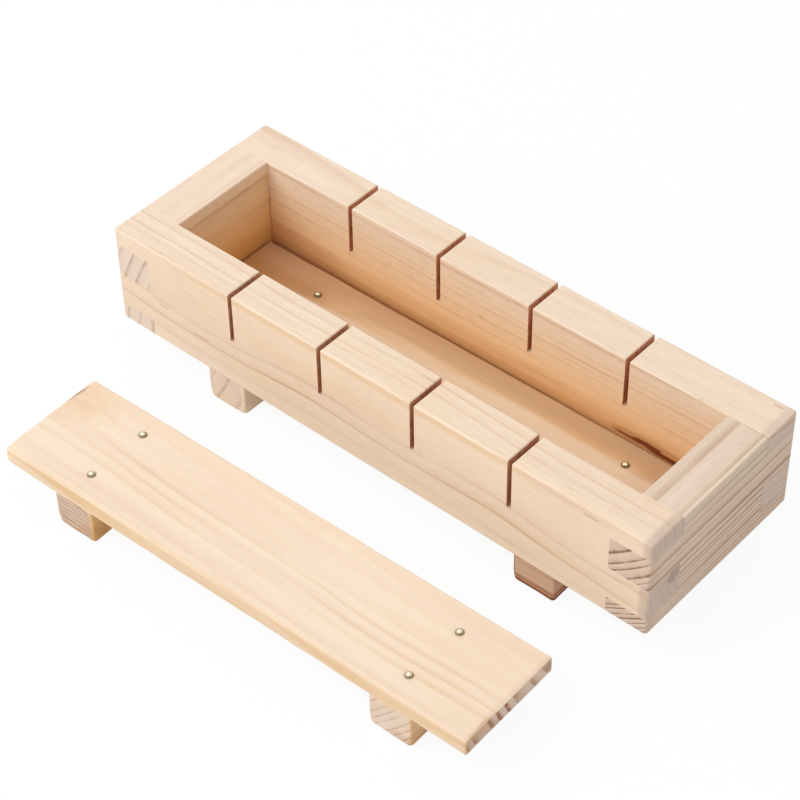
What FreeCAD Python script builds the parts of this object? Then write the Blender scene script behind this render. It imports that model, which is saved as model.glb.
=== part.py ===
import FreeCAD, Part
import math
import os

# Sushi rice press in wood: a finger-jointed frame with knife slots stands on a loose base,
# and a press board lies in front of it, battens down. Millimetres; X runs along the press,
# Y across it, Z up. The origin is on the table, under the middle of the whole set.

# Frame: four walls around the rice cavity.
cavity_length = 225.0
cavity_width = 50.5
side_thickness = 18.0
end_thickness = 18.0
wall_height = 46.0
finger_count = 3  # whole fingers in the wall's height
corner_radius = 1.5  # upright outer corners
edge_radius = 1.0  # outer edges along the top and the bottom
rim_radius = 0.6  # edges of the cavity

# Knife slots in both long walls, between equal portions.
portion_count = 5
slot_width = 2.0
slot_depth = 23.4
slot_mouth = 0.4  # chamfer on each side of the mouth

# Boards of the base and of the press.
board_thickness = 7.0
board_end_gap = 1.5  # to each end wall
board_side_gap = 1.25  # to each long wall
board_chamfer = 0.5  # all edges

# Battens, nailed across under each board.
batten_width = 19.0
batten_height = 16.0
batten_inset = 25.0  # from the board's end to the batten
batten_foot_radius = 2.0  # long edges of the foot
batten_chamfer = 0.8  # around the cut ends, below the board
base_batten_setback = 1.3  # from the frame's long faces to the batten's ends
batten_strays = {"base": 2.1, "press": 1.0}  # by which they were nailed to the right of their places

# Domed brass nails, two through the board into each batten.
nail_edge_distance = 10.7  # from the board's long edge
nail_head_radius = 1.65
nail_head_height = 1.35
nail_shank_radius = 0.8
nail_shank_length = 18.0
nail_fit = 0.02  # between the shank and its hole, all round and at its end
nail_strays = {  # nails driven off their marks, along and across the board
    "base_nail_left_back": (1.0, -1.8),
    "base_nail_right_back": (0.0, -0.3),
    "press_nail_left_back": (0.4, 0.5),
    "press_nail_right_back": (1.5, -0.6),
}

# How the loose base lies in its clearance.
base_skew = 0.9  # share of the side gap by which its left end lies to the front
base_lean = 0.2  # share of the room then left at its ends by which it lies to the left

# Where the press board lies.
press_gap = 33.3  # from the frame's front face to the board's nearest corner
press_shift = 4.7  # along X, from the middle of the frame
press_turn = 1.32  # degrees about the upright axis

# Worked out from the sizes above.
frame_length = cavity_length + 2 * end_thickness
frame_width = cavity_width + 2 * side_thickness
board_length = cavity_length - 2 * board_end_gap
board_width = cavity_width - 2 * board_side_gap
base_batten_length = frame_width - 2 * base_batten_setback
press_batten_length = board_width
slot_pitch = (cavity_length + slot_width) / portion_count
finger_height = wall_height / finger_count
batten_offset = board_length / 2 - batten_inset - batten_width / 2
board_top = batten_height + board_thickness

turn = math.radians(press_turn)
press_reach = (board_length / 2 - board_chamfer) * abs(math.sin(turn)) + board_width / 2 * math.cos(turn)
set_depth = frame_width + press_gap + 2 * press_reach
frame_y = (set_depth - frame_width) / 2
press_y = press_reach - set_depth / 2

base_slant = math.atan(2 * base_skew * board_side_gap / board_length)
base_end_room = board_end_gap - board_width / 2 * math.sin(base_slant)
base_shift = -base_lean * base_end_room

SIDES = (("left", -1), ("right", 1))
ROWS = (("front", -1), ("back", 1))
UP = FreeCAD.Vector(0, 0, 1)
LEVEL_SHARE = 1e-6  # share of a shape's size within which an edge counts as level


def centred_block(length, width, height, centre_x=0.0, centre_y=0.0, bottom=0.0):
    """A block with its middle over a point and its underside at a height."""
    corner = FreeCAD.Vector(centre_x - length / 2, centre_y - width / 2, bottom)
    return Part.makeBox(length, width, height, corner)


def upright_edges(shape):
    """The straight edges that run along Z."""
    return [edge for edge in shape.Edges if edge.BoundBox.XLength + edge.BoundBox.YLength < edge.Length / 2]


def level_edges(shape, height):
    """The edges that lie at one height."""
    flat = shape.BoundBox.DiagonalLength * LEVEL_SHARE
    return [
        edge
        for edge in shape.Edges
        if abs(edge.BoundBox.ZMin - height) < flat and abs(edge.BoundBox.ZMax - height) < flat
    ]


def eased_frame():
    """The glued frame as one ring, with its outer edges and cavity edges eased."""
    block = centred_block(frame_length, frame_width, wall_height)
    block = block.makeFillet(corner_radius, upright_edges(block))
    block = block.makeFillet(edge_radius, level_edges(block, 0) + level_edges(block, wall_height))
    ring = block.cut(centred_block(cavity_length, cavity_width, wall_height))
    reach = math.hypot(cavity_length, cavity_width) / 2 + rim_radius
    cavity_edges = [
        edge
        for edge in level_edges(ring, 0) + level_edges(ring, wall_height)
        if max(math.hypot(vertex.X, vertex.Y) for vertex in edge.Vertexes) < reach
    ]
    return ring.makeFillet(rim_radius, cavity_edges)


def joint_levels():
    """Heights of the joint lines from the top down: half a finger, then whole ones."""
    levels = [wall_height]
    level = wall_height - finger_height / 2
    while level > 0:
        levels.append(level)
        level -= finger_height
    return levels + [0.0]


def corner_cells(first):
    """The blocks of every second finger level in the four corners of the frame."""
    levels = joint_levels()
    cells = []
    for index in range(first, len(levels) - 1, 2):
        height = levels[index] - levels[index + 1]
        for _, along in SIDES:
            for _, across in ROWS:
                centre_x = along * (frame_length - end_thickness) / 2
                centre_y = across * (frame_width - side_thickness) / 2
                cell = centred_block(
                    end_thickness, side_thickness, height, centre_x, centre_y, levels[index + 1]
                )
                cells.append(cell)
    return cells


def knife_slots():
    """Cutters for the slots, each running across the whole frame."""
    half = slot_width / 2
    floor = wall_height - slot_depth
    clear = wall_height + slot_mouth
    profile = (
        (-half, floor),
        (half, floor),
        (half, wall_height - slot_mouth),
        (half + 2 * slot_mouth, clear),
        (-half - 2 * slot_mouth, clear),
        (-half, wall_height - slot_mouth),
        (-half, floor),
    )
    outline = Part.makePolygon([FreeCAD.Vector(x, 0, z) for x, z in profile])
    cutter = Part.Face(outline).extrude(FreeCAD.Vector(0, frame_width, 0))
    slots = []
    for index in range(portion_count - 1):
        place_x = (index + 1 - portion_count / 2) * slot_pitch
        slots.append(cutter.translated(FreeCAD.Vector(place_x, -frame_width / 2, 0)))
    return slots


def frame_walls():
    """Four walls whose fingers interlock at the corners, cut from the eased ring."""
    ring = eased_frame()
    slots = knife_slots()
    walls = {}
    for name, across in ROWS:
        centre_y = across * (frame_width - side_thickness) / 2
        blank = centred_block(frame_length, side_thickness, wall_height, centre_y=centre_y)
        walls[name + "_wall"] = ring.common(blank).cut(corner_cells(1) + slots)
    for name, along in SIDES:
        centre_x = along * (frame_length - end_thickness) / 2
        blank = centred_block(end_thickness, frame_width, wall_height, centre_x)
        walls[name + "_end_wall"] = ring.common(blank).cut(corner_cells(0))
    return walls


def board():
    """A board with all its edges eased, lying on the battens."""
    blank = centred_block(board_length, board_width, board_thickness, bottom=batten_height)
    return blank.makeChamfer(board_chamfer, blank.Edges)


def batten(length):
    """A batten of round-edged stock, running across the board, with its cut ends eased."""
    stock = centred_block(batten_width, length, batten_height)
    long_edges = [edge for edge in level_edges(stock, 0) if edge.BoundBox.YLength > edge.BoundBox.XLength]
    stock = stock.makeFillet(batten_foot_radius, long_edges)
    end_edges = [
        edge
        for edge in stock.Edges
        if edge.BoundBox.YLength < edge.Length / 2 and edge.BoundBox.ZMin < batten_height / 2
    ]
    return stock.makeChamfer(batten_chamfer, end_edges)


def shank(clearance):
    """The nail's round shank below the board's face, grown by a clearance."""
    length = nail_shank_length + clearance
    return Part.makeCylinder(nail_shank_radius + clearance, length, FreeCAD.Vector(0, 0, -length))


def nail():
    """A nail whose domed head sits on the plane Z = 0."""
    dome_radius = (nail_head_radius**2 + nail_head_height**2) / (2 * nail_head_height)
    dome_centre = nail_head_height - dome_radius
    half_slope = math.asin(nail_head_radius / dome_radius) / 2
    centre = FreeCAD.Vector()
    rim = FreeCAD.Vector(nail_head_radius, 0, 0)
    brow = FreeCAD.Vector(
        dome_radius * math.sin(half_slope), 0, dome_centre + dome_radius * math.cos(half_slope)
    )
    crown = FreeCAD.Vector(0, 0, nail_head_height)
    edges = [Part.makeLine(centre, rim), Part.Arc(rim, brow, crown).toShape(), Part.makeLine(crown, centre)]
    head = Part.Face(Part.Wire(edges)).revolve(centre, UP, 360)
    return head.fuse(shank(0)).removeSplitter()


def nailed_board(prefix, batten_length):
    """A board, its two battens and its four nails, standing on the battens."""
    plank = board()
    pieces = {}
    for side, along in SIDES:
        batten_x = along * batten_offset + batten_strays[prefix]
        rail = batten(batten_length).translated(FreeCAD.Vector(batten_x, 0, 0))
        for row, across in ROWS:
            name = prefix + "_nail_" + side + "_" + row
            stray_x, stray_y = nail_strays.get(name, (0, 0))
            nail_y = across * (board_width / 2 - nail_edge_distance) + stray_y
            place = FreeCAD.Vector(batten_x + stray_x, nail_y, board_top)
            hole = shank(nail_fit).translated(place)
            plank = plank.cut(hole)
            rail = rail.cut(hole)
            pieces[name] = nail().translated(place)
        pieces[prefix + "_batten_" + side] = rail
    pieces[prefix + "_board"] = plank
    return pieces


def placed(pieces, shift, degrees=0.0):
    """The pieces turned about the upright axis and moved to their place."""
    place = FreeCAD.Placement(shift, FreeCAD.Rotation(UP, degrees))
    return {name: shape.transformed(place.toMatrix()) for name, shape in pieces.items()}


parts = {}
parts.update(placed(frame_walls(), FreeCAD.Vector(0, frame_y, batten_height)))
base = nailed_board("base", base_batten_length)
parts.update(placed(base, FreeCAD.Vector(base_shift, frame_y, 0), math.degrees(base_slant)))
press = nailed_board("press", press_batten_length)
parts.update(placed(press, FreeCAD.Vector(press_shift, press_y, 0), press_turn))

os.makedirs("parts", exist_ok=True)
for name, shape in sorted(parts.items()):
    solids = shape.Solids
    piece = solids[0] if len(solids) == 1 else Part.makeCompound(solids)
    print(f"{name}: solids {len(solids)}, valid {piece.isValid()}, {piece.Volume:.1f} mm3")
    piece.exportStep(os.path.join("parts", name + ".step"))
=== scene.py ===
"""A wooden sushi rice press: the looks of its timber, nails and edges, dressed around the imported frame.

Lengths are in metres unless a name or a comment says millimetres. X runs along the press, Y across
it and Z up, as in the frame.
"""

import math
from dataclasses import dataclass

import bpy
import numpy as np
from bpy.props import FloatProperty, FloatVectorProperty, PointerProperty
from mathutils import Matrix, Quaternion, Vector, noise


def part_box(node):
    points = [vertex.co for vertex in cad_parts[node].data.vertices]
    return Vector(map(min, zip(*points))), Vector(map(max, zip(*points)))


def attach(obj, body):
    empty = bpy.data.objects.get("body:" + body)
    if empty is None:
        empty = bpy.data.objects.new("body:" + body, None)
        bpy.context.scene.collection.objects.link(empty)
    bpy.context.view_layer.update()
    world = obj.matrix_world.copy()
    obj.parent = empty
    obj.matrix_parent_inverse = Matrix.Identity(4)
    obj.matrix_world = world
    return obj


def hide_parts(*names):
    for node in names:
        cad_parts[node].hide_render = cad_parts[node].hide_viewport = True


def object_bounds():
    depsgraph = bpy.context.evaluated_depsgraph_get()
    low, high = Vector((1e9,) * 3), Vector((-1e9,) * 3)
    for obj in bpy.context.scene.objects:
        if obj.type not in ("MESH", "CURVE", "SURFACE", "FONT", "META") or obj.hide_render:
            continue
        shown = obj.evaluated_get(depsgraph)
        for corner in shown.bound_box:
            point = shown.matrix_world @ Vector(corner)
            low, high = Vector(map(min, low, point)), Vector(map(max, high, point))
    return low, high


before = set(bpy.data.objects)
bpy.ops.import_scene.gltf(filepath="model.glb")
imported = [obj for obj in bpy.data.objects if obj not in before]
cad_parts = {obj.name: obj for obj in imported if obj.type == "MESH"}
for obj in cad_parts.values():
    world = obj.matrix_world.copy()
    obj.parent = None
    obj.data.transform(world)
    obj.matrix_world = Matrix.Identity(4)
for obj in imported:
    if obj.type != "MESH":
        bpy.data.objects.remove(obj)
cad_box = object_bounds()

bl_info = {
    "name": "Sushi rice press",
    "version": (1, 0, 0),
    "blender": (4, 5, 0),
    "location": "3D View > Sidebar > Rice press",
    "description": "Dresses the frame, base and press board of a wooden sushi rice press",
    "category": "Object",
}

MM = 0.001


# ------------------------------------------------------------------ sizes read from the frame


def middle(node):
    """The centre of a node's box."""
    low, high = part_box(node)
    return (low + high) / 2


def turn_of(body):
    """How far a board lies turned about Z, from the line through its two battens."""
    line = middle(body + "_batten_right") - middle(body + "_batten_left")
    return math.atan2(line.y, line.x)


def true_size(node, turn):
    """The size of a turned block, worked out from its box."""
    low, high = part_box(node)
    size = high - low
    cosine, sine = math.cos(turn), abs(math.sin(turn))
    share = cosine**2 - sine**2
    length = (size.x * cosine - size.y * sine) / share
    width = (size.y * cosine - size.x * sine) / share
    return Vector((length, width, size.z))


SIDES = ("left", "right")
ROWS = ("front", "back")
WALLS = ("front_wall", "back_wall", "left_end_wall", "right_end_wall")

TURNS = {body: turn_of(body) for body in ("base", "press")}
BOARD_SIZES = {body: true_size(body + "_board", turn) for body, turn in TURNS.items()}
BATTEN_SIZES = {body: true_size(body + "_batten_left", turn) for body, turn in TURNS.items()}
BOARD_TOP = BATTEN_SIZES["base"].z + BOARD_SIZES["base"].z
NAIL_LOW, NAIL_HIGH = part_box("base_nail_left_front")
NAIL_RADIUS = (NAIL_HIGH.x - NAIL_LOW.x) / 2
NAIL_DOME = NAIL_HIGH.z - BOARD_TOP
NAIL_LENGTH = BOARD_TOP - NAIL_LOW.z
CAVITY_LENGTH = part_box("right_end_wall")[0].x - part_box("left_end_wall")[1].x
WALL_HEIGHT_MM = true_size("front_wall", 0.0).z / MM
WALL_THICKNESS_MM = true_size("front_wall", 0.0).y / MM

# Saw kerfs for the knife, between equal portions. Millimetres.
PORTIONS = 5
KERF_WIDTH = 2.0
KERF_DEPTH = 23.4
KERF_PITCH = (CAVITY_LENGTH / MM + KERF_WIDTH) / PORTIONS


# ------------------------------------------------------------------ shader maths


class Field:
    """A socket that varies over a surface. Arithmetic on it adds Math nodes."""

    def __init__(self, graph, socket):
        self.graph = graph
        self.socket = socket

    def _math(self, operation, *values):
        return self.graph.node("ShaderNodeMath", {"operation": operation}, dict(enumerate(values)))

    def __add__(self, other):
        return self._math("ADD", self, other)

    def __radd__(self, other):
        return self._math("ADD", other, self)

    def __sub__(self, other):
        return self._math("SUBTRACT", self, other)

    def __rsub__(self, other):
        return self._math("SUBTRACT", other, self)

    def __mul__(self, other):
        return self._math("MULTIPLY", self, other)

    def __rmul__(self, other):
        return self._math("MULTIPLY", other, self)

    def __truediv__(self, other):
        return self._math("DIVIDE", self, other)

    def __pow__(self, power):
        return self._math("POWER", self, power)

    def __abs__(self):
        return self._math("ABSOLUTE", self)

    def floor(self):
        """The whole number below."""
        return self._math("FLOOR", self)

    def most(self, other):
        """The larger of two numbers."""
        return self._math("MAXIMUM", self, other)

    def rise(self, low, high):
        """0 up to low, 1 from high on, and a smooth step between them."""
        values = {"Value": self, "From Min": low, "From Max": high}
        return self.graph.node("ShaderNodeMapRange", {"interpolation_type": "SMOOTHSTEP"}, values)

    def fall(self, low, high):
        """1 up to low, 0 from high on, and a smooth step between them."""
        return 1 - self.rise(low, high)


class Graph:
    """A node tree being built."""

    def __init__(self, tree):
        self.tree = tree
        tree.nodes.clear()

    def node(self, kind, settings=None, values=None, output=0):
        """Adds a node: its settings first, then the values or links of its sockets."""
        made = self.tree.nodes.new(kind)
        for name, setting in (settings or {}).items():
            setattr(made, name, setting)
        for name, value in (values or {}).items():
            if isinstance(value, Field):
                self.tree.links.new(value.socket, made.inputs[name])
            else:
                made.inputs[name].default_value = value
        return Field(self, made.outputs[output]) if made.outputs else None

    def split(self, vector):
        """The three numbers of a vector."""
        first = self.node("ShaderNodeSeparateXYZ", None, {0: vector})
        return [Field(self, socket) for socket in first.socket.node.outputs]

    def mottle(self, x, y, z, detail=2.0, roughness=0.5):
        """Smooth noise around 0, mostly between -0.5 and 0.5."""
        place = self.node("ShaderNodeCombineXYZ", None, {"X": x, "Y": y, "Z": z})
        values = {"Vector": place, "Scale": 1.0, "Detail": detail, "Roughness": roughness}
        return 2 * self.node("ShaderNodeTexNoise", None, values) - 1

    def chance(self, number):
        """A random number from 0 to 1 for each whole number."""
        return self.node("ShaderNodeTexWhiteNoise", {"noise_dimensions": "1D"}, {"W": number})

    def blend(self, colour, other, share):
        """One colour turning into another."""
        settings = {"data_type": "RGBA", "clamp_factor": True}
        return self.node("ShaderNodeMix", settings, {0: share, 6: rgba(colour), 7: rgba(other)}, 2)

    def surface(self, values, relief, depth):
        """The Principled surface, with a relief whose depth is in metres."""
        normal = self.node("ShaderNodeBump", None, {"Height": relief, "Distance": depth})
        shader = self.node("ShaderNodeBsdfPrincipled", None, {**values, "Normal": normal})
        self.node("ShaderNodeOutputMaterial", None, {"Surface": shader})


def rgba(colour):
    """A colour as four numbers, or the field as it is."""
    return colour if isinstance(colour, Field) else (*tuple(colour)[:3], 1.0)


def new_material(name):
    """An empty material and its graph."""
    material = bpy.data.materials.new(name)
    material.use_nodes = True
    return material, Graph(material.node_tree)


# ------------------------------------------------------------------ timber


@dataclass
class Knot:
    """Where the rings swerve around a knot near the surface. Millimetres: along the grain, across."""

    place: tuple
    reach: tuple
    lift: float  # how far the rings move outwards


@dataclass
class Timber:
    """How a piece was cut from its log. Millimetres, from the middle of the piece."""

    grain: str  # the axis that the fibres follow, X or Y
    heart: tuple  # where the heart of the log lies: across the grain, and up
    ring: float  # width of a ring at the middle of the piece
    crowd: float = 0.0  # share by which the rings narrow with each millimetre outwards
    lean: tuple = (0.0, 0.0)  # how far the heart wanders, across and up, per millimetre along
    sway: float = 2.0  # how far the rings waver
    figure: float = 0.5  # strength of the latewood on the planed faces
    fair: float = 0.45  # share of it that is missing on the top
    ends: float = 0.6  # strength of the latewood on the cut ends
    warm: float = 0.2  # share of honey colour
    dull: float = 0.0  # share of brown-grey
    burn: float = 0.0  # how dark the saw left its kerfs
    soot: float = 0.0  # share of grey-brown in them
    late: float = 0.66  # share of a ring after which its latewood starts
    gold: float = 0.0  # share of honey colour in the latewood
    dashes: float = 1.0  # strength of the fine dashes on the planed faces
    cavity_side: int = 0  # 1 or -1 across the grain, where that face lines the cavity
    lining: float = 0.0  # share of painted amber shade that this face has more than the others
    knots: tuple = ()
    seed: float = 0.0


TIMBERS = {
    "front_wall": Timber(
        "X", (70, 28), 4.4, lean=(0.0, -0.02),
        figure=0.65, fair=0.5, ends=0.4, warm=0.12, burn=0.35, soot=0.25, cavity_side=1, seed=3.1,
    ),
    "back_wall": Timber(
        "X", (-15, -75), 3.4, lean=(0.0, 0.006), sway=1.6,
        figure=0.55, fair=0.3, ends=0.5, warm=0.08, burn=0.4, cavity_side=-1, seed=8.7,
    ),
    "left_end_wall": Timber(
        "Y", (85, -38), 7.0, sway=1.2,
        figure=0.6, fair=0.5, ends=0.5, warm=0.05, cavity_side=1, lining=0.25, seed=14.2,
    ),
    "right_end_wall": Timber(
        "Y", (-80, 95), 3.0, crowd=0.035, sway=0.4,
        figure=2.1, fair=0.65, ends=1.7, warm=0.02, dull=0.36, cavity_side=-1, seed=21.9,
    ),
    # Its warm, dull tone is partly its own and partly painted shade of the cavity.
    "base_board": Timber(
        "X", (10, -45), 4.2, lean=(0.03, 0.02), sway=3.0,
        figure=0.6, fair=0.2, warm=0.85, dull=0.25, seed=27.4,
    ),
    "base_batten_left": Timber(
        "Y", (-90, 46), 6.5, sway=0.6,
        figure=0.2, ends=0.35, warm=0.5, seed=33.3,
    ),
    "base_batten_right": Timber(
        "Y", (5, -80), 3.4, sway=1.0,
        figure=0.6, ends=0.4, warm=0.4, dull=0.1, seed=39.8,
    ),
    "press_board": Timber(
        "X", (75, 32), 5.6, crowd=0.012, lean=(-0.02, 0.0), sway=2.5, late=0.4, gold=0.75, dashes=0.5,
        figure=0.6, ends=1.2, warm=0.02, knots=(Knot((-104, 14), (16, 9), 9.0),), seed=46.1,
    ),
    "press_batten_left": Timber(
        "Y", (-8, -200), 1.4, sway=0.15,
        figure=1.6, ends=2.8, warm=0.7, dull=0.1, seed=52.6,
    ),
    "press_batten_right": Timber(
        "Y", (-90, 80), 3.0, sway=0.5,
        figure=0.9, ends=0.55, warm=0.6, dull=0.12, seed=58.5,
    ),
}


@dataclass
class Mark:
    """A streak, a stain, or a patch of painted light or shade. Millimetres, from the middle of the piece:
    along the grain, across, up.
    """

    place: tuple
    reach: tuple
    colour: str
    strength: float
    ragged: float = 1.1  # unevenness of its outline


MARKS = {
    "front_wall": (
        Mark((104.5, -9, 19.7), (4.5, 3, 0.5), "umber", 0.5),
        Mark((-105.5, -9, -3.7), (3.5, 3, 0.5), "umber", 0.4),
        Mark((-84.7, -9, -8.2), (6.0, 3, 0.6), "umber", 0.3),
        Mark((19.5, 4.7, 23), (6.0, 0.5, 3), "pitch", 0.22),
        Mark((0, -9, 20.7), (112, 2.5, 1.9), "warm", 0.4, 0.8),
        # Painted shade: the ends on the right face, which faces away from the key lamp, made duller and
        # darker.
        Mark((131, 0, 0), (6, 30, 60), "dull", 0.65, 0.3),
        Mark((130.5, 6, -3), (3, 5, 3.5), "end_latewood", 0.45),
    ),
    "back_wall": (
        Mark((-112.5, -9, -6), (0.8, 3, 24), "umber", 0.35, 0.4),
        # Painted shade on the inner face: darker towards the base board, with a dark line where the board
        # meets it.
        Mark((0, -9, -17), (400, 3, 13), "umber", 0.22, 0.3),
        Mark((0, -9, -17), (400, 3, 5), "umber", 0.25, 0.3),
        Mark((0, -9, -18.4), (400, 3, 2.0), "char", 0.5, 0.3),
        Mark((83, -9, -13.4), (24, 3, 3.8), "umber", 0.5, 0.6),
        Mark((72, -9, -14.3), (10, 3, 0.9), "pitch", 0.8, 0.3),
        Mark((80, -9, -13.6), (9, 3, 1.6), "pitch", 0.95, 0.8),
        Mark((91, -9, -14.9), (14, 3, 1.4), "pitch", 1.0, 0.4),
        Mark((30, -9, -7.6), (14, 3, 0.5), "umber", 0.3),
        # Painted shade at the left end of the inner face, low down.
        Mark((-112, -9, -16), (55, 3, 14), "umber", 0.25, 0.3),
        Mark((124.5, 6.4, 23), (3.2, 0.9, 3), "umber", 0.35),
        # Painted shade: the ends on the right face, which faces away from the key lamp, made duller and
        # darker.
        Mark((131, 0, 0), (6, 30, 60), "dull", 0.45, 0.3),
    ),
    "left_end_wall": (
        # Painted shade: the inner face darker towards the bottom.
        Mark((0, 9, -20), (90, 3, 16), "umber", 0.25, 0.3),
        Mark((25.2, 9, -6), (0.8, 3, 24), "umber", 0.3, 0.4),
    ),
    "right_end_wall": (
        Mark((-43.5, 0, 0), (6, 30, 60), "umber", 0.12, 0.3),
        Mark((25.2, 4, 23), (0.6, 7, 3), "umber", 0.35),
        Mark((25.2, 9, 19), (0.5, 3, 7), "umber", 0.3),
    ),
    "base_board": (
        # Painted light and shade: the shadow of the left end wall at the left end; darker, duller, more olive
        # and amber towards the back wall, with a dark line on the back edge; a paler band across the middle.
        Mark((-111, 8, 3.5), (58, 40, 6), "umber", 0.65, 0.4),
        Mark((-50, 25, 3.5), (85, 7, 6), "umber", 0.35, 0.4),
        Mark((40, 22, 3.5), (130, 6, 6), "olive", 0.22, 0.5),
        Mark((0, 22, 3.5), (400, 9, 6), "dull", 0.45, 0.6),
        Mark((0, 22, 3.5), (400, 9, 6), "amber", 0.15, 0.6),
        Mark((0, 22, 3.5), (400, 9, 6), "umber", 0.22, 0.6),
        Mark((50, 4, 3.5), (170, 10.5, 6), "pale", 0.65, 0.6),
        Mark((0, 24, 3.5), (400, 0.5, 4), "char", 0.35, 0.2),
    ),
    "base_batten_left": (
        # Painted light: the shaded side face made paler and golden.
        Mark((0, 9.5, 0), (120, 2, 30), "pale", 1.0, 0.3),
        Mark((0, 9.5, 0), (120, 2, 30), "amber", 0.2, 0.3),
    ),
    "base_batten_right": (
        Mark((0, 0, 0), (120, 60, 60), "umber", 0.55, 0.3),
        Mark((0, 0, -8), (90, 30, 7), "umber", 0.6, 0.6),
        Mark((0, 0, -3.8), (120, 60, 1.2), "pitch", 0.45, 0.8),
        # Painted contact shadow: a dark band along the foot.
        Mark((0, 0, -6.6), (120, 60, 1.9), "pitch", 0.9, 0.3),
        Mark((0, -9.5, 0), (120, 1.2, 60), "pitch", 0.6, 0.4),
    ),
    "press_batten_left": (
        Mark((0, 0, 0), (120, 60, 60), "umber", 0.12, 0.3),
        # Painted light: the shaded side face made golden.
        Mark((0, 9.5, -2), (120, 2, 30), "amber", 0.55, 0.4),
        Mark((0, 9, -6), (120, 9, 8), "umber", 0.3, 0.6),
    ),
    "press_batten_right": (
        # Painted light: the shaded side face made golden.
        Mark((0, 9.5, -2), (120, 2, 30), "amber", 0.3, 0.4),
        Mark((0, 8, -8), (120, 11, 7), "umber", 0.25, 0.6),
    ),
    "press_board": (
        Mark((111, 0, 0), (3, 40, 20), "umber", 0.12, 0.3),
        Mark((111, -16, 0), (2, 12, 6), "umber", 0.35),
        Mark((40, -25, 0), (220, 2.5, 9), "warm", 0.38, 0.3),
        Mark((-106, 12, 3), (18, 13, 6), "warm", 0.25, 0.8),
        Mark((-111.2, 14, 3), (2.2, 7.5, 6), "pitch", 0.55),
    ),
}

# Texture of the wood, in millimetres: size along the grain, then across it.
FIBRE = (14.0, 0.75)
HAIR = (4.0, 0.22)
CLOUD = (70.0, 14.0)
BLUSH = (110.0, 5.0)
PATCH = (55.0, 9.0)
CANAL = (6.0, 0.5)
PORE = (0.5, 0.28)
BREAK = (20.0, 3.0)
WAVER = (120.0, 50.0)
BLUSH_SEED = 40  # keeps the blush of a piece apart from its clouds
RELIEF_DEPTH = 0.035 * MM
SHEEN = 0.25  # specular level of bare wood

# How a ring darkens: the share of its dark that is latewood, and the shares of its width after which
# the latewood is full and starts to end. The rest of its dark comes slowly, over most of its width.
PLANED_RING = (0.7, 0.86, 0.9)
END_RING = (0.75, 0.85, 0.92)
SLOW_DARK = (0.1, 0.85)
RING_RUN = 2.4  # rings over which their widths change
MIDDLE_RING = 100  # number of the ring at the middle of a piece, so that none is below 0

# Parts of a face's normal that point along the fibres, and up, from which it counts as an end, or a
# top, in part and in full.
END_FACE = (0.73, 0.83)
TOP_FACE = (0.5, 0.9)

# Faces that line the cavity, which get painted light and painted shade. Millimetres.
LINING_SKIN = 0.5  # depth that still belongs to such a face
LINING_TOP = 20.0  # height above the middle of the wall where its painted amber shade starts
LINING_PAINTED_SHADE = 0.021  # share of painted amber shade gained with each millimetre below that

# Outline of a mark: how often it wavers in its reach along, across and up, and the squared distances
# from its middle between which it fades, in reaches.
MARK_NOISE = (2.2, 1.5, 1.5)
MARK_EDGE = (0.3, 1.0)

# Fading of the burn on a kerf's walls: beside the kerf, and up from its floor. Millimetres.
BURN_SIDE = (0.02, 0.06)
BURN_FLOOR = (0.05, 0.15)


def streaks(graph, place, size, detail, roughness=0.5, seed=0.0):
    """Noise drawn out along the grain."""
    along, across, up = place
    return graph.mottle(along / size[0] + seed, across / size[1], up / size[1], detail, roughness)


def ring_number(graph, timber, place):
    """Which ring of the log a point lies in, with rings that waver and are of uneven width."""
    along, across, up = place
    waver = streaks(graph, place, WAVER, 1.0, seed=timber.seed)
    u = across - timber.heart[0] - timber.lean[0] * along
    v = up - timber.heart[1] - timber.lean[1] * along
    outward = (u * u + v * v) ** 0.5 - math.hypot(*timber.heart) + 2 * timber.sway * waver
    for knot in timber.knots:
        beside = (along - knot.place[0]) / knot.reach[0]
        above = (across - knot.place[1]) / knot.reach[1]
        outward = outward + knot.lift * (1 + beside * beside + above * above) ** -1.5
    grown = outward / timber.ring * (1 + 0.5 * timber.crowd * outward)
    return grown + graph.mottle(grown / RING_RUN, timber.seed, 0.0, 1.0) + MIDDLE_RING


def ring_shade(timber, number, kind):
    """How dark a ring is: a slow rise, its latewood, and a sharp edge to the next ring."""
    latewood, full, ending = kind
    within = number - number.floor()
    dark = (1 - latewood) * within.rise(*SLOW_DARK) + latewood * within.rise(timber.late, full)
    return dark * within.fall(ending, 1.0)


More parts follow.
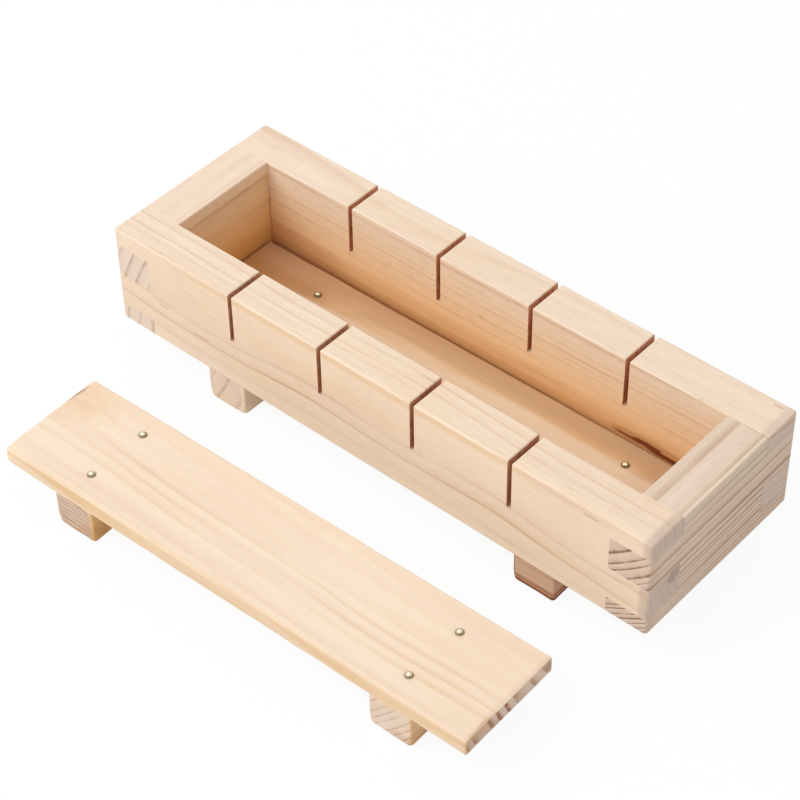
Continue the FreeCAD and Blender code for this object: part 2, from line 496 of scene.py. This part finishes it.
def planed_colour(graph, tones, timber, place, number, weight, top_face, fibre):
    """Colour of the long faces: fine lines of latewood on a ground that drifts from pale to honey."""
    fade = 0.85 + 1.2 * streaks(graph, place, PATCH, 1.0, seed=timber.seed)
    late = ring_shade(timber, number, PLANED_RING) * weight * fade * (1 - timber.fair * top_face)
    cloud = streaks(graph, place, CLOUD, 2.0, seed=timber.seed)
    blush = streaks(graph, place, BLUSH, 2.0, seed=timber.seed + BLUSH_SEED)
    canals = streaks(graph, place, CANAL, 0.0, seed=timber.seed).rise(0.42, 0.6)

    warmth = timber.warm + 0.3 * cloud + 0.1 * (1 - top_face)
    colour = graph.blend(tones.pale, tones.warm, warmth)
    colour = graph.blend(colour, tones.rosy, (0.3 + 1.3 * blush) * max(0.0, 1 - timber.warm))
    # Faces lining the cavity get painted light, paler all over, and painted shade, darker and more amber
    # towards the bottom of the cavity.
    if timber.cavity_side:
        face = WALL_THICKNESS_MM / 2
        lining = (place[1] * timber.cavity_side).rise(face - LINING_SKIN, face)
        amber = timber.lining + LINING_PAINTED_SHADE * (LINING_TOP - place[2])
        colour = graph.blend(colour, tones.pale, 0.8 * lining)
        colour = graph.blend(colour, tones.amber, lining * amber)
        late = late * (1 - 0.2 * lining)
        canals = canals * (1 + lining)
    colour = graph.blend(colour, tones.dull, timber.dull * (1 - 0.3 * top_face) + 0.1 * fibre)
    dark = graph.blend(tones.latewood, tones.end_latewood, 1.2 * timber.dull)
    dark = graph.blend(dark, tones.warm, timber.gold)
    fine = timber.dashes * (0.2 * fibre + 0.25 * canals)
    return graph.blend(colour, dark, late * timber.figure + fine + 0.04)


def end_colour(graph, tones, timber, place, number, weight):
    """Colour of the cut ends: crisp dark rings on a rosy ground, with open pores."""
    broken = 0.9 + 0.8 * streaks(graph, place, BREAK, 1.0, seed=timber.seed)
    bands = ring_shade(timber, number, END_RING) * (0.35 + 0.65 * weight) * broken * timber.ends
    cloud = streaks(graph, place, CLOUD, 1.0, seed=timber.seed)
    pores = streaks(graph, place, PORE, 2.0, 0.7)
    colour = graph.blend(tones.end_grain, tones.warm, 0.2 * timber.warm + 0.3 * cloud)
    colour = graph.blend(colour, tones.dull, 0.5 * timber.dull)
    dark = graph.blend(tones.end_latewood, tones.umber, 0.5 * timber.gold)
    return graph.blend(colour, dark, bands + 0.2 * pores + 0.02)


def mark_mask(graph, mark, place):
    """1 inside a mark, fading out at its ragged edge."""
    offset = [(value - at) / reach for value, at, reach in zip(place, mark.place, mark.reach)]
    along, across, up = offset
    uneven = graph.mottle(*[value * size for value, size in zip(offset, MARK_NOISE)], 2.0)
    distance = along * along + across * across + up * up + mark.ragged * uneven
    return distance.fall(*MARK_EDGE) * mark.strength


def scorched(graph, tones, timber, colour, place):
    """Browns the walls of the saw kerfs, darker towards their floor."""
    along, across, up = place
    steps = along / KERF_PITCH
    aside = abs(steps - steps.floor() - 0.5) * KERF_PITCH
    above_floor = up - (WALL_HEIGHT_MM / 2 - KERF_DEPTH)
    beside = [KERF_WIDTH / 2 + gap for gap in BURN_SIDE]
    end = CAVITY_LENGTH / MM / 2 - KERF_PITCH / 2
    inside = aside.fall(*beside) * above_floor.rise(*BURN_FLOOR) * abs(along).fall(end, end + 1)
    burnt = graph.mottle(across * 0.8, up * 0.25, along, 3.0, 0.6)
    share = timber.burn + 0.9 * burnt + 0.25 * above_floor.fall(0, KERF_DEPTH)
    brown = graph.blend(graph.blend(tones.scorch, tones.char, share), tones.end_latewood, timber.soot)
    return graph.blend(colour, brown, inside)


def wood(name, centre, sawn=False):
    """Planed softwood for a piece, with rings that run through it from face to face."""
    tones = bpy.context.scene.rice_press.wood
    timber = TIMBERS[name]
    material, graph = new_material(name + "_wood")
    here = graph.split(graph.node("ShaderNodeTexCoord", None, None, "Object"))
    facing = graph.split(graph.node("ShaderNodeTexCoord", None, None, "Normal"))
    x, y, up = [(value - shift) / MM for value, shift in zip(here, centre)]
    turned = timber.grain == "Y"
    place = (y, x, up) if turned else (x, y, up)
    end_face = abs(facing[1 if turned else 0]).rise(*END_FACE)
    top_face = facing[2].rise(*TOP_FACE)

    number = ring_number(graph, timber, place)
    weight = 0.2 + 0.8 * graph.chance(number.floor() + timber.seed) ** 1.3
    fibre = streaks(graph, place, FIBRE, 3.0, 0.65)
    planed = planed_colour(graph, tones, timber, place, number, weight, top_face, fibre)
    colour = graph.blend(planed, end_colour(graph, tones, timber, place, number, weight), end_face)
    for mark in MARKS.get(name, ()):
        colour = graph.blend(colour, getattr(tones, mark.colour), mark_mask(graph, mark, place))
    if sawn:
        colour = scorched(graph, tones, timber, colour, place)
    relief = fibre + 0.35 * streaks(graph, place, HAIR, 2.0, 0.6)
    values = {"Base Color": colour, "Roughness": 0.6 + 0.2 * fibre, "Specular IOR Level": SHEEN}
    graph.surface(values, relief, RELIEF_DEPTH)
    return material


# ------------------------------------------------------------------ brass


# Texture of the nails: spots and fine dents to the millimetre, and the depth of the dents.
SPOT_COUNT = 1.6
DENT_COUNT = 2.2
FINE_DENT_DEPTH = 0.12 * MM


def brass(name):
    """Tumbled brass, dull and dark around the foot of the dome: tarnish there, and a painted dark reflection.
    """
    tones = bpy.context.scene.rice_press.brass
    material, graph = new_material(name)
    here = graph.split(graph.node("ShaderNodeTexCoord", None, None, "Object"))
    place = [value / MM for value in here]
    out = (place[0] * place[0] + place[1] * place[1]) ** 0.5 / (NAIL_RADIUS / MM)
    spots = graph.mottle(*[value * SPOT_COUNT for value in place], 3.0, 0.6)
    # Darker towards the rim: tarnish, and a painted dark reflection of the surroundings.
    low = (out + 0.4 * spots).rise(0.3, 0.9)
    colour = graph.blend(tones.bright, tones.tarnish_and_dark_reflection, low)
    dents = graph.mottle(*[value * DENT_COUNT for value in place], 1.0)
    values = {"Base Color": colour, "Metallic": 1.0, "Roughness": 0.2 + 0.25 * low + 0.2 * spots}
    graph.surface(values, dents, FINE_DENT_DEPTH)
    return material


# ------------------------------------------------------------------ forms


# Grid lines of a block: where they lie at its ends and how close they get, in radii of its edges.
END_LINES = (0, 0.15, 0.35, 0.6, 0.85, 1.1, 1.35)
LEAST_GAP = 0.1
BOARD_STEPS = (3 * MM, 2 * MM, 1.5 * MM)
BATTEN_STEP = 2.5 * MM
DENT_STEP = 0.35 * MM
DENT_MARGIN = 0.3 * MM  # around a dent, with lines as close as in it

WEAR_SIZE = 9 * MM  # size of the unevenness along an edge
DENT_SLOPE = 0.4  # share of a dent's reach over which it deepens
TINY_LENGTH = 1e-12  # keeps a division by a length of 0 from failing


def cuts(half, edge, step, spots=(), spot_reach=0.0, spot_step=1.0):
    """Places of the grid lines from -half to half: close at the ends and around each spot."""
    places = [half - edge * share for share in END_LINES] + [edge * share - half for share in END_LINES]
    inner = half - END_LINES[-1] * edge
    count = max(1, round(2 * inner / step))
    places += [-inner + 2 * inner * index / count for index in range(1, count)]
    for spot in spots:
        count = round(2 * spot_reach / spot_step)
        places += [spot - spot_reach + spot_step * index for index in range(count + 1)]
    places.sort()
    kept = places[:1]
    for place in places[1:]:
        if place - kept[-1] > LEAST_GAP * edge:
            kept.append(place)
    return kept


def block_skin(grid):
    """The skin of a block as quads between the grid lines of its three axes."""
    found, points, quads = {}, [], []
    last = [len(lines) - 1 for lines in grid]
    for axis in range(3):
        first, second = (axis + 1) % 3, (axis + 2) % 3
        for side in (0, last[axis]):
            for row in range(last[first]):
                for column in range(last[second]):
                    quad = []
                    for step_row, step_column in ((0, 0), (1, 0), (1, 1), (0, 1)):
                        key = [0, 0, 0]
                        key[axis], key[first], key[second] = side, row + step_row, column + step_column
                        key = tuple(key)
                        if key not in found:
                            found[key] = len(points)
                            points.append([grid[index][key[index]] for index in range(3)])
                        quad.append(found[key])
                    quads.append(quad if side else quad[::-1])
    return np.array(points), quads


def smooth_step(value):
    """0 below 0, 1 above 1 and smooth between."""
    value = np.clip(value, 0, 1)
    return value * value * (3 - 2 * value)


def eased(points, half, radii, wear, seed, worn_corners=()):
    """Rounds the edges of a block, unevenly, as sanding and use leave them."""
    half = np.array(half)
    uneven = [noise.noise(Vector(point) / WEAR_SIZE + Vector((seed, 0, 0))) for point in points]
    radii = radii * (1 + wear * np.array(uneven))
    for corner, extra, reach in worn_corners:
        away = np.linalg.norm((points - np.array(corner)) / reach, axis=1)
        radii = radii + extra * np.exp(-(away**2))
    radii = radii[:, None]
    inner = np.clip(points, -half + radii, half - radii)
    out = points - inner
    length = np.linalg.norm(out, axis=1, keepdims=True)
    return np.where(length > 0, inner + out / np.maximum(length, TINY_LENGTH) * radii, points)


def add_piece(name, points, faces, material, body, nodes, centre):
    """A smooth mesh in place of CAD nodes, turned as their body lies and riding on it."""
    mesh = bpy.data.meshes.new(name)
    mesh.from_pydata([tuple(point) for point in points], [], faces)
    mesh.materials.append(material)
    mesh.shade_smooth()
    piece = bpy.data.objects.new(name, mesh)
    bpy.context.scene.collection.objects.link(piece)
    piece.matrix_world = Matrix.Translation(centre) @ Matrix.Rotation(TURNS[body], 4, "Z")
    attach(piece, body)
    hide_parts(*nodes)


def nail_places(body):
    """The nails of a body on its board, from the board's middle."""
    centre = middle(body + "_board")
    back = Matrix.Rotation(-TURNS[body], 3, "Z")
    return {
        (side, row): back @ (middle(f"{body}_nail_{side}_{row}") - centre) for side in SIDES for row in ROWS
    }


def dented(points, half, spots, depth, reach):
    """Sinks the top of a board around each nail head."""
    top = points[:, 2] > half[2] - depth
    for spot in spots:
        away = np.hypot(points[:, 0] - spot[0], points[:, 1] - spot[1]) / reach
        points[:, 2] -= np.where(top, depth * smooth_step((1 - away) / DENT_SLOPE), 0)
    return points


def build_board(body, worn_corners=()):
    """A planed board with eased edges, dented where its nails were driven home."""
    sizes = bpy.context.scene.rice_press.edges
    half = BOARD_SIZES[body] / 2
    spots = list(nail_places(body).values())
    reach = NAIL_RADIUS + sizes.dent_reach
    dent_lines = (reach + DENT_MARGIN, DENT_STEP)
    spots_x = sorted({round(spot.x, 5) for spot in spots})
    spots_y = sorted({round(spot.y, 5) for spot in spots})
    grid = [
        cuts(half.x, sizes.arris, BOARD_STEPS[0], spots_x, *dent_lines),
        cuts(half.y, sizes.arris, BOARD_STEPS[1], spots_y, *dent_lines),
        cuts(half.z, sizes.arris, BOARD_STEPS[2]),
    ]
    points, quads = block_skin(grid)
    name = body + "_board"
    points = eased(points, half, sizes.arris, sizes.wear, TIMBERS[name].seed, worn_corners)
    points = dented(points, half, spots, sizes.dent_depth, reach)
    material = wood(name, (0, 0, 0))
    add_piece("planed_" + name, points, quads, material, body, [name], middle(name))


def build_batten(body, side):
    """A batten, well rounded along its foot and lightly eased elsewhere."""
    sizes = bpy.context.scene.rice_press.edges
    half = BATTEN_SIZES[body] / 2
    grid = [cuts(value, sizes.foot, BATTEN_STEP) for value in half]
    points, quads = block_skin(grid)
    name = f"{body}_batten_{side}"
    low = smooth_step(2 - (points[:, 2] + half.z) / sizes.foot)
    radii = sizes.batten_arris + (sizes.foot - sizes.batten_arris) * low
    points = eased(points, half, radii, sizes.wear / 2, TIMBERS[name].seed)
    material = wood(name, (0, 0, 0))
    add_piece("planed_" + name, points, quads, material, body, [name], middle(name))


# The corner of the press board that is worn: what its radius gains, and how far that reaches.
WORN_RADIUS = 1.2 * MM
WORN_REACH = 5 * MM

# Grooves along the joints: corners of the walls closer than the first are one, and a groove runs
# where faces meet at more than the second.
WELD_REACH = 0.001 * MM
GROOVE_ANGLE = math.radians(35)

# Nails: sides of their round form, steps down the dome, and the hammer's marks on it.
NAIL_SIDES = 36
DOME_STEPS = 10
SHANK_RADIUS = 0.8 * MM
POINT_LENGTH = 2.5 * MM
RIM_SHARE = 0.9  # share of the head's radius, and of the dent's depth, at which the rim turns under
HAMMER_SIZE = 1.1 * MM
HAMMER_DEPTH = 0.1 * MM


def turned_form(profile, segments):
    """A closed form turned about Z: the profile starts and ends on the axis."""
    points, faces = [(0.0, 0.0, profile[0][1])], []
    for radius, height in profile[1:-1]:
        for step in range(segments):
            angle = 2 * math.pi * step / segments
            points.append((radius * math.cos(angle), radius * math.sin(angle), height))
    points.append((0.0, 0.0, profile[-1][1]))
    rows = len(profile) - 2
    for step in range(segments):
        after = (step + 1) % segments
        faces.append((0, 1 + after, 1 + step))
        for row in range(rows - 1):
            near, far = 1 + row * segments, 1 + (row + 1) * segments
            faces.append((near + step, near + after, far + after, far + step))
        near = 1 + (rows - 1) * segments
        faces.append((near + step, near + after, len(points) - 1))
    return np.array(points), faces


def nail_profile(dent):
    """Radius and height down a nail from its crown: dome, rim, shank and point."""
    dome = (NAIL_RADIUS**2 + NAIL_DOME**2) / (2 * NAIL_DOME)
    slope = math.asin(NAIL_RADIUS / dome)
    slopes = [slope * step / DOME_STEPS for step in range(DOME_STEPS + 1)]
    profile = [(dome * math.sin(angle), NAIL_DOME - dome * (1 - math.cos(angle))) for angle in slopes]
    profile += [(NAIL_RADIUS, -dent * RIM_SHARE), (NAIL_RADIUS * RIM_SHARE, -dent), (SHANK_RADIUS, -dent)]
    profile += [(SHANK_RADIUS, -NAIL_LENGTH + POINT_LENGTH), (0.0, -NAIL_LENGTH)]
    return profile


def build_nails(body):
    """Domed nails, each a little dented by the hammer."""
    sizes = bpy.context.scene.rice_press.edges
    material = brass(body + "_nail_brass")
    points, faces = turned_form(nail_profile(sizes.dent_depth), NAIL_SIDES)
    for index, (side, row) in enumerate(nail_places(body)):
        own_pattern = Vector((7.3 * index, TURNS[body] * 100, 0))
        shaped = points.copy()
        for vertex, point in enumerate(points):
            if point[2] > HAMMER_DEPTH:
                bump = noise.noise(Vector(point) / HAMMER_SIZE + own_pattern)
                shaped[vertex][2] -= HAMMER_DEPTH * max(0.0, bump)
        shaped[:, 2] -= 0.5 * sizes.dent_depth
        name = f"{body}_nail_{side}_{row}"
        spot = middle(name)
        spot.z = BOARD_TOP
        add_piece("domed_" + name, shaped, faces, material, body, [name], spot)


# ------------------------------------------------------------------ stage

# The key lamp as seen from the press, and the floor.
KEY_DIRECTION = (-0.45, -0.66, 0.92)
KEY_DISTANCE = 2.6
KEY_SIZE = 2.1
FLOOR_SIZE = 8.0
WHITE = (1, 1, 1, 1)


def aim(thing, place, target):
    """Puts a lamp or camera somewhere and points it at a target."""
    thing.location = place
    thing.rotation_mode = "QUATERNION"
    thing.rotation_quaternion = (target - place).to_track_quat("-Z", "Y")


def add_softbox(name, direction, distance, size, power, target):
    """A square area lamp seen from the object in a direction, with power in watts."""
    lamp = bpy.data.lights.new(name, "AREA")
    lamp.shape = "SQUARE"
    lamp.size = size
    lamp.energy = power
    box = bpy.data.objects.new(name, lamp)
    bpy.context.scene.collection.objects.link(box)
    aim(box, target + Vector(direction).normalized() * distance, target)


def seen_directly(graph):
    """1 for what the camera, a mirror or glass shows, 0 for light that falls on things."""
    kinds = ("Is Camera Ray", "Is Glossy Ray", "Is Transmission Ray")
    camera, glossy, through = [graph.node("ShaderNodeLightPath", None, None, kind) for kind in kinds]
    return camera.most(glossy).most(through)


def build_sky(strength):
    """Even light from all round, with a white backdrop behind."""
    world = bpy.data.worlds.new("studio")
    bpy.context.scene.world = world
    world.use_nodes = True
    graph = Graph(world.node_tree)
    light = graph.node("ShaderNodeBackground", None, {"Color": WHITE, "Strength": strength})
    white = graph.node("ShaderNodeBackground", None, {"Color": WHITE, "Strength": 1.0})
    mixed = graph.node("ShaderNodeMixShader", None, {0: seen_directly(graph), 1: light, 2: white})
    graph.node("ShaderNodeOutputWorld", None, {"Surface": mixed})


def build_floor(size, colour, glow):
    """A pale floor: mostly white as seen, so that only a faint shadow of the press stays on it."""
    mesh = bpy.data.meshes.new("floor")
    reach = size / 2
    corners = [(-reach, -reach, 0), (reach, -reach, 0), (reach, reach, 0), (-reach, reach, 0)]
    mesh.from_pydata(corners, [], [(0, 1, 2, 3)])
    floor = bpy.data.objects.new("floor", mesh)
    bpy.context.scene.collection.objects.link(floor)
    material, graph = new_material("floor_paper")
    seen = seen_directly(graph)
    paper = graph.node("ShaderNodeBsdfDiffuse", None, {"Color": graph.blend(colour, WHITE, seen)})
    white = graph.node("ShaderNodeEmission", None, {"Color": WHITE, "Strength": 1.0})
    mixed = graph.node("ShaderNodeMixShader", None, {0: glow * seen, 1: paper, 2: white})
    graph.node("ShaderNodeOutputMaterial", None, {"Surface": mixed})
    mesh.materials.append(material)


# The camera stands to the right of the front, well above, and is tilted by about a degree.
CAMERA_PLACE = Vector((433.16, -468.50, 665.18)) * MM
CAMERA_AZIMUTH = math.radians(41.602)
CAMERA_ELEVATION = math.radians(43.975)
CAMERA_ROLL = math.radians(-1.020)
CAMERA_LENS = 108.63
SENSOR = 36.0


def build_camera():
    """The camera, looking down on the press from the front right."""
    data = bpy.data.cameras.new("camera")
    data.lens = CAMERA_LENS
    data.sensor_width = SENSOR
    camera = bpy.data.objects.new("camera", data)
    bpy.context.scene.collection.objects.link(camera)
    level = math.cos(CAMERA_ELEVATION)
    back = Vector((
        math.sin(CAMERA_AZIMUTH) * level,
        -math.cos(CAMERA_AZIMUTH) * level,
        math.sin(CAMERA_ELEVATION),
    ))
    camera.rotation_mode = "QUATERNION"
    roll = Quaternion((0, 0, 1), CAMERA_ROLL)
    camera.rotation_quaternion = (-back).to_track_quat("-Z", "Y") @ roll
    camera.location = CAMERA_PLACE
    bpy.context.scene.camera = camera


# ------------------------------------------------------------------ add-on


def colour_property(name, description, default):
    """A colour that a user would change."""
    return FloatVectorProperty(
        name=name, description=description, subtype="COLOR", size=3, min=0.0, max=1.0, default=default
    )


def length_property(name, description, default):
    """A length that a user would change."""
    return FloatProperty(
        name=name, description=description, unit="LENGTH", min=0.0, default=default, precision=5
    )


class WoodColours(bpy.types.PropertyGroup):
    """Colours of the softwood."""

    pale: colour_property("Pale wood", "Earlywood of the palest boards", (0.945, 0.785, 0.615))
    warm: colour_property("Honey wood", "Earlywood of the warmest boards", (0.80, 0.50, 0.22))
    # Painted light and shade, not a wood of its own: shade low in the cavity and along the back of the base,
    # light on the shaded sides of the battens.
    amber: colour_property("Amber wood", "Faces that line the cavity, low down", (0.92, 0.54, 0.17))
    rosy: colour_property("Rosy wood", "Earlywood where it is pinkish", (0.90, 0.71, 0.57))
    dull: colour_property("Dull wood", "Earlywood of the greyest boards", (0.58, 0.43, 0.35))
    latewood: colour_property("Latewood", "Dark side of a ring on a planed face", (0.60, 0.32, 0.15))
    end_grain: colour_property("End grain", "Pale side of a ring on an end", (0.86, 0.69, 0.56))
    end_latewood: colour_property("End latewood", "Dark side of a ring on an end", (0.28, 0.16, 0.11))
    # Brown stains, and painted shade low in the cavity and at the left end of the base.
    umber: colour_property("Umber", "Brown stains", (0.46, 0.19, 0.06))
    # Painted shade along the back of the base, by the back wall.
    olive: colour_property("Olive", "Greenish stain along the base", (0.30, 0.29, 0.10))
    # Resin streaks, and also a painted contact shadow along the foot of a batten.
    pitch: colour_property("Pitch", "Resin streaks", (0.20, 0.04, 0.012))
    scorch: colour_property("Scorch", "Walls of the knife kerfs", (0.85, 0.52, 0.32))
    # Also painted shade: the dark line along the seams of the base board.
    char: colour_property("Char", "Darkest places in the knife kerfs", (0.50, 0.13, 0.04))


class BrassColours(bpy.types.PropertyGroup):
    """Colours of the nails."""

    bright: colour_property("Bright brass", "Crown of a nail", (0.86, 0.78, 0.60))
    # Tarnish at the rim, with a painted dark reflection.
    tarnish_and_dark_reflection: colour_property("Tarnish", "Rim of a nail", (0.30, 0.25, 0.15))


class EdgeSizes(bpy.types.PropertyGroup):
    """Sizes of the edges and dents."""

    arris: length_property("Board edges", "Mean radius of the boards' edges", 0.7 * MM)
    batten_arris: length_property("Batten edges", "Mean radius of the battens' edges", 0.8 * MM)
    foot: length_property("Batten feet", "Mean radius around the foot of the battens", 2.0 * MM)
    groove: length_property("Joint lines", "Bevel along the joints of the frame", 0.14 * MM)
    dent_depth: length_property("Nail dents", "Depth of the wood around a nail", 0.2 * MM)
    dent_reach: length_property("Dent width", "Width of the sunken ring around a nail", 0.9 * MM)
    wear: FloatProperty(
        name="Wear", description="Unevenness of the edges", subtype="FACTOR", min=0.0, max=1.0, default=0.6
    )


class StageSettings(bpy.types.PropertyGroup):
    """Light and floor."""

    key_power: FloatProperty(name="Key lamp", description="Power of the key lamp", unit="POWER", default=40.5)
    sky_strength: FloatProperty(name="Sky", description="Strength of the even light", min=0.0, default=0.63)
    floor_colour: colour_property("Floor", "Colour that the floor throws back", (0.8, 0.8, 0.8))
    floor_glow: FloatProperty(
        name="Floor white",
        description="Share of pure white in the floor as seen",
        subtype="FACTOR",
        min=0.0,
        max=1.0,
        default=0.92,
    )


class PressSettings(bpy.types.PropertyGroup):
    """All settings of the press."""

    wood: PointerProperty(name="Wood", description="Colours of the wood", type=WoodColours)
    brass: PointerProperty(name="Brass", description="Colours of the nails", type=BrassColours)
    edges: PointerProperty(name="Edges", description="Sizes of edges and dents", type=EdgeSizes)
    stage: PointerProperty(name="Stage", description="Light and floor", type=StageSettings)


class DressWalls(bpy.types.Operator):
    """Give the four walls their wood and a fine groove along their joints"""

    bl_idname = "rice_press.dress_walls"
    bl_label = "Dress the walls"

    def execute(self, context):
        for name in WALLS:
            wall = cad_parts[name]
            sawn = TIMBERS[name].grain == "X"
            wall.material_slots[0].material = wood(name, middle(name), sawn)
            weld = wall.modifiers.new("weld", "WELD")
            weld.merge_threshold = WELD_REACH
            bevel = wall.modifiers.new("groove", "BEVEL")
            bevel.width = context.scene.rice_press.edges.groove
            bevel.segments = 2
            bevel.limit_method = "ANGLE"
            bevel.angle_limit = GROOVE_ANGLE
        return {"FINISHED"}


class BuildBase(bpy.types.Operator):
    """Build the base board and its two battens"""

    bl_idname = "rice_press.build_base"
    bl_label = "Build the base"

    def execute(self, context):
        build_board("base")
        for side in SIDES:
            build_batten("base", side)
        return {"FINISHED"}


class BuildPressBoard(bpy.types.Operator):
    """Build the press board and its two battens"""

    bl_idname = "rice_press.build_press_board"
    bl_label = "Build the press board"

    def execute(self, context):
        half = BOARD_SIZES["press"] / 2
        front_left = (-half.x, -half.y, 0)
        build_board("press", [(front_left, WORN_RADIUS, WORN_REACH)])
        for side in SIDES:
            build_batten("press", side)
        return {"FINISHED"}


class BuildNails(bpy.types.Operator):
    """Build the eight domed nails"""

    bl_idname = "rice_press.build_nails"
    bl_label = "Build the nails"

    def execute(self, context):
        for body in TURNS:
            build_nails(body)
        return {"FINISHED"}


class SetStage(bpy.types.Operator):
    """Set the floor, the light and the camera"""

    bl_idname = "rice_press.set_stage"
    bl_label = "Set the stage"

    def execute(self, context):
        stage = context.scene.rice_press.stage
        context.scene.view_settings.view_transform = "Standard"
        low, high = cad_box
        target = Vector(((low.x + high.x) / 2, (low.y + high.y) / 2, 0))
        add_softbox("key", KEY_DIRECTION, KEY_DISTANCE, KEY_SIZE, stage.key_power, target)
        build_sky(stage.sky_strength)
        build_floor(FLOOR_SIZE, stage.floor_colour, stage.floor_glow)
        build_camera()
        return {"FINISHED"}


class PressPanel(bpy.types.Panel):
    """Pieces and settings of the rice press"""

    bl_idname = "RICE_PT_press"
    bl_label = "Sushi rice press"
    bl_space_type = "VIEW_3D"
    bl_region_type = "UI"
    bl_category = "Rice press"

    def draw(self, context):
        settings = context.scene.rice_press
        for group in (settings.wood, settings.brass, settings.edges, settings.stage):
            box = self.layout.box()
            for name in group.__annotations__:
                box.prop(group, name)
        for step in STEPS:
            self.layout.operator(step.bl_idname)


GROUPS = (WoodColours, BrassColours, EdgeSizes, StageSettings, PressSettings)
STEPS = (DressWalls, BuildBase, BuildPressBoard, BuildNails, SetStage)


def register():
    """Registers the settings, the operators and the panel."""
    for made in (*GROUPS, *STEPS, PressPanel):
        bpy.utils.register_class(made)
    bpy.types.Scene.rice_press = PointerProperty(type=PressSettings)


def unregister():
    """Takes the settings, the operators and the panel away."""
    del bpy.types.Scene.rice_press
    for made in reversed((*GROUPS, *STEPS, PressPanel)):
        bpy.utils.unregister_class(made)


def main():
    """Registers the add-on and runs its steps, which build the press."""
    register()
    for step in STEPS:
        category, action = step.bl_idname.split(".")
        getattr(getattr(bpy.ops, category), action)()


if __name__ == "__main__":
    main()
